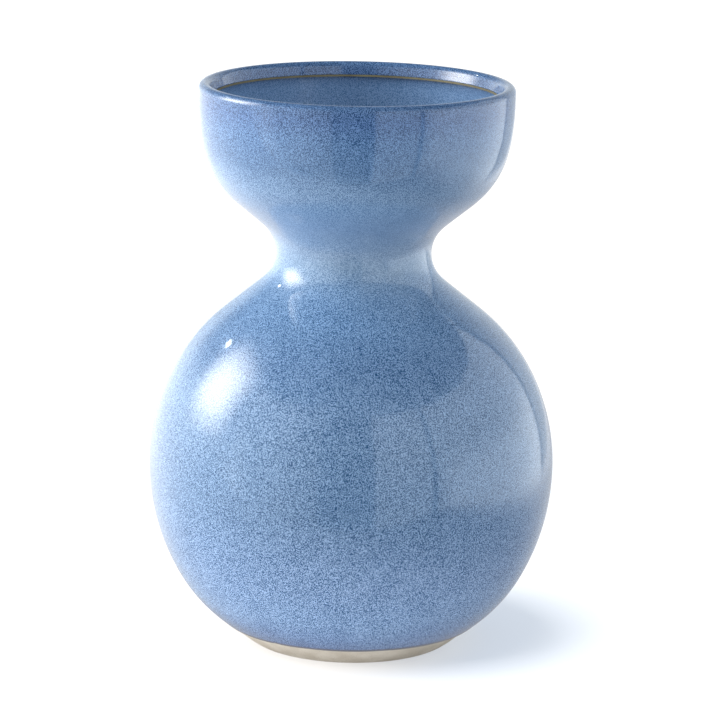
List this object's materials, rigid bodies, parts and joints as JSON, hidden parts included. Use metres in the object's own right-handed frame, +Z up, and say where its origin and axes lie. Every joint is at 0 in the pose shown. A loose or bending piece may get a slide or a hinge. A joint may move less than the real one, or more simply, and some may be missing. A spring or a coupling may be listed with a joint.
{
  "type": "flower vase",
  "caption": "Free-standing stoneware vase with a wide globe, a narrow waist and a flared bowl with a rolled lip, glazed inside and out above a bare clay foot.",
  "frame": {"origin": "centre of the plane that the foot rests on", "axes": "+Z up along the vase's turning axis; X and Y are any two square directions, because the vase is round"},
  "size_m": [0.22, 0.22, 0.3062],
  "materials": {
    "bare_stoneware": "unglazed, dry matte beige clay, slightly grainy",
    "body_stoneware": "fired clay under the glaze, bare only as a thin brown line inside the lip",
    "outer_blue_glaze": "glossy reactive glaze, pale blue finely speckled with navy",
    "liner_blue_glaze": "glossy blue liner glaze, finely speckled, watertight"
  },
  "bodies": {
    "root": {"foot_ring": "bare_stoneware", "globe_wall": "body_stoneware", "bowl_wall": "body_stoneware", "outer_glaze": "outer_blue_glaze", "inner_glaze": "liner_blue_glaze"}
  },
  "joints": []
}
